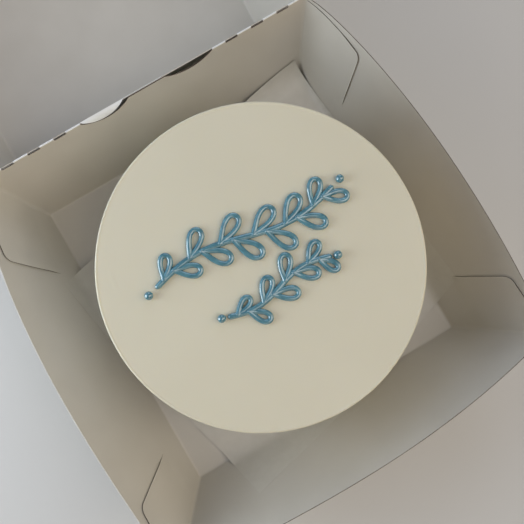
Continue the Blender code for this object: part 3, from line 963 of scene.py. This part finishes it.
def bumps(tree, shader, layers):
    """Chains bump nodes: each layer is a height and its depth in metres."""
    below = None
    for height, depth in layers:
        bump = tree.nodes.new("ShaderNodeBump")
        bump.inputs["Strength"].default_value = 1.0
        bump.inputs["Distance"].default_value = depth
        tree.links.new(height, bump.inputs["Height"])
        if below:
            tree.links.new(below, bump.inputs["Normal"])
        below = bump.outputs["Normal"]
    tree.links.new(below, shader.inputs["Normal"])


def card_material(name, low, high):
    """Coated card: faint mottling, fine fibres."""
    finish, tree, shader = new_material(name, high, CARD_ROUGHNESS)
    tint(tree, shader, noise_node(tree, 55.0, 4.0), low, high)
    vary_roughness(tree, shader, noise_node(tree, 220.0),
                   CARD_ROUGHNESS - CARD_ROUGHNESS_SPREAD, CARD_ROUGHNESS + CARD_ROUGHNESS_SPREAD)
    bumps(tree, shader, [
        (noise_node(tree, 130.0, 2.0), 0.00004),
        (noise_node(tree, 1800.0, 4.0), 0.000015),
    ])
    return finish


def edge_material(name, low, high):
    """Cut edge of the card, tinted between two colours: brown core darkened with painted shade on the
    dark edges, painted light on the pale one.
    """
    finish, tree, shader = new_material(name, high, 0.9)
    tint(tree, shader, noise_node(tree, 2600.0, 2.0), low, high)
    bumps(tree, shader, [(noise_node(tree, 2600.0, 2.0), 0.00006)])
    return finish


def paper_material():
    """Greaseproof paper: cloudy, softly cockled, nearly smooth to the touch."""
    finish, tree, shader = new_material("greaseproof_paper", (0.575, 0.545, 0.485), 0.5)
    tint(tree, shader, noise_node(tree, 240.0, 6.0), (0.565, 0.54, 0.48), (0.595, 0.57, 0.51))
    vary_roughness(tree, shader, noise_node(tree, 400.0), 0.44, 0.56)
    bumps(tree, shader, [
        (noise_node(tree, 90.0, 3.0), 0.00015),
        (noise_node(tree, 2200.0, 3.0), 0.00001),
    ])
    return finish


def frosting_material():
    """Smooth cream frosting, which lets a little light in."""
    finish, tree, shader = new_material("cream_frosting", (0.70, 0.665, 0.52), 0.5)
    shader.inputs["Subsurface Weight"].default_value = 0.12
    shader.inputs["Subsurface Radius"].default_value = (0.004, 0.003, 0.0015)
    shader.inputs["Subsurface Scale"].default_value = 1.0
    tint(tree, shader, noise_node(tree, 26.0, 3.0), (0.69, 0.655, 0.51), (0.71, 0.675, 0.53))
    vary_roughness(tree, shader, noise_node(tree, 160.0, 3.0), 0.42, 0.54)
    bumps(tree, shader, [
        (noise_node(tree, 70.0, 2.0, (1.0, 3.5, 1.0)), 0.00005),
        (noise_node(tree, 520.0, 4.0, (1.0, 1.0, 3.0)), 0.000012),
    ])
    return finish


def piping_material():
    """Glossy teal icing under a clear wet coat."""
    finish, tree, shader = new_material("teal_icing", (0.08, 0.24, 0.30), 0.2)
    shader.inputs["Coat Weight"].default_value = 1.0
    shader.inputs["Coat Roughness"].default_value = 0.06
    shader.inputs["Coat IOR"].default_value = 1.8
    shader.inputs["Specular IOR Level"].default_value = 0.8
    tint(tree, shader, noise_node(tree, 330.0, 3.0), (0.045, 0.18, 0.24), (0.115, 0.30, 0.365))
    bumps(tree, shader, [(noise_node(tree, 700.0, 2.0), 0.00004)])
    return finish


def stage_floor():
    """Plain pale floor, a hair below the box so that the two never fight for a pixel."""
    finish, tree, shader = new_material("pale_floor", (0.60, 0.60, 0.585), 0.6)
    tint(tree, shader, noise_node(tree, 8.0, 2.0), (0.59, 0.59, 0.575), (0.61, 0.61, 0.595))
    bm = bmesh.new()
    bmesh.ops.create_grid(bm, x_segments=2, y_segments=2, size=STAGE_HALF)
    bmesh.ops.translate(bm, verts=bm.verts[:], vec=(0, 0, -STAGE_DROP))
    floor = make_piece("floor", bm, [finish])


def soft_light(name, azimuth, elevation, distance, size, power, colour):
    """Square softbox aimed at the cake from a direction in degrees, clockwise from +Y and up."""
    data = bpy.data.lights.new(name, "AREA")
    data.size = size
    data.energy = power
    data.color = colour
    lamp = bpy.data.objects.new(name, data)
    turn = math.radians(azimuth)
    rise = math.radians(elevation)
    way = Vector((math.cos(rise) * math.sin(turn), math.cos(rise) * math.cos(turn), math.sin(rise)))
    lamp.location = way * distance
    lamp.rotation_mode = "QUATERNION"
    lamp.rotation_quaternion = way.to_track_quat("Z", "Y")
    bpy.context.scene.collection.objects.link(lamp)


def lights():
    for lamp in LIGHTS:
        soft_light(*lamp)
    world = bpy.data.worlds.new("studio")
    world.use_nodes = True
    sky = world.node_tree.nodes["Background"]
    sky.inputs["Color"].default_value = (*WORLD_COLOUR, 1.0)
    sky.inputs["Strength"].default_value = WORLD_STRENGTH
    bpy.context.scene.world = world


def camera():
    data = bpy.data.cameras.new("camera")
    data.sensor_width = SENSOR
    data.lens = SENSOR * FOCAL_PIXELS / PHOTO_SIDE
    data.clip_start = 0.01
    eye = bpy.data.objects.new("camera", data)
    turn_x, turn_y, turn_z = (math.radians(angle) for angle in CAMERA_TURN)
    turn = (Matrix.Rotation(turn_z, 4, "Z") @ Matrix.Rotation(turn_x, 4, "X")
            @ Matrix.Rotation(turn_y, 4, "Y"))
    eye.matrix_world = Matrix.Translation(CAMERA_PLACE) @ turn
    bpy.context.scene.collection.objects.link(eye)
    bpy.context.scene.camera = eye


def main():
    bpy.context.scene.view_settings.view_transform = "Standard"
    camera()
    lights()
    stage_floor()
    inside = card_material("card_inside", (0.545, 0.515, 0.455), (0.575, 0.545, 0.485))
    # Cut edges: the card's brown core, made darker with painted shade for the shadow along the rims and
    # flap edges
    edge = edge_material("card_core_and_shade", (0.07, 0.058, 0.045), (0.11, 0.093, 0.073))
    # The tray's fold cuts and the crease ends: darker still, painted shade for the shadow in the slits
    shaded_fold_cut = edge_material("fold_cut_painted_shade", (0.075, 0.046, 0.034), (0.115, 0.072, 0.053))
    # Pale edge for the left side's rim: painted light where that edge faces the light
    painted_lit_edge = edge_material("edge_with_painted_light", (0.50, 0.48, 0.44), (0.62, 0.60, 0.56))
    for half, body in (("tray", "box"), ("lid", "lid")):
        is_lid = half == "lid"
        shell = box_shell(half + "_shell", is_lid, [inside, edge, shaded_fold_cut, painted_lit_edge])
        flaps = box_flaps(half + "_flaps", is_lid, [inside, edge])
        for piece in (shell, flaps):
            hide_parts(half)
            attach(piece, body)
    # Paler, cooler copy of the card for the creases and the tongue: painted light where they catch the
    # light
    lit_crease_card = card_material("crease_card_painted_light", (0.78, 0.79, 0.78), (0.82, 0.83, 0.82))
    bridges = creases([lit_crease_card, shaded_fold_cut])
    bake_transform(bridges)
    tab = tongue([lit_crease_card, edge])
    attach(tab, "lid")
    sheet = liner([paper_material(), paper_material()])
    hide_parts("liner")
    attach(sheet, "box")
    for piece in (frosting([frosting_material()]), piping([piping_material()])):
        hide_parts("cake")
        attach(piece, "box")


main()
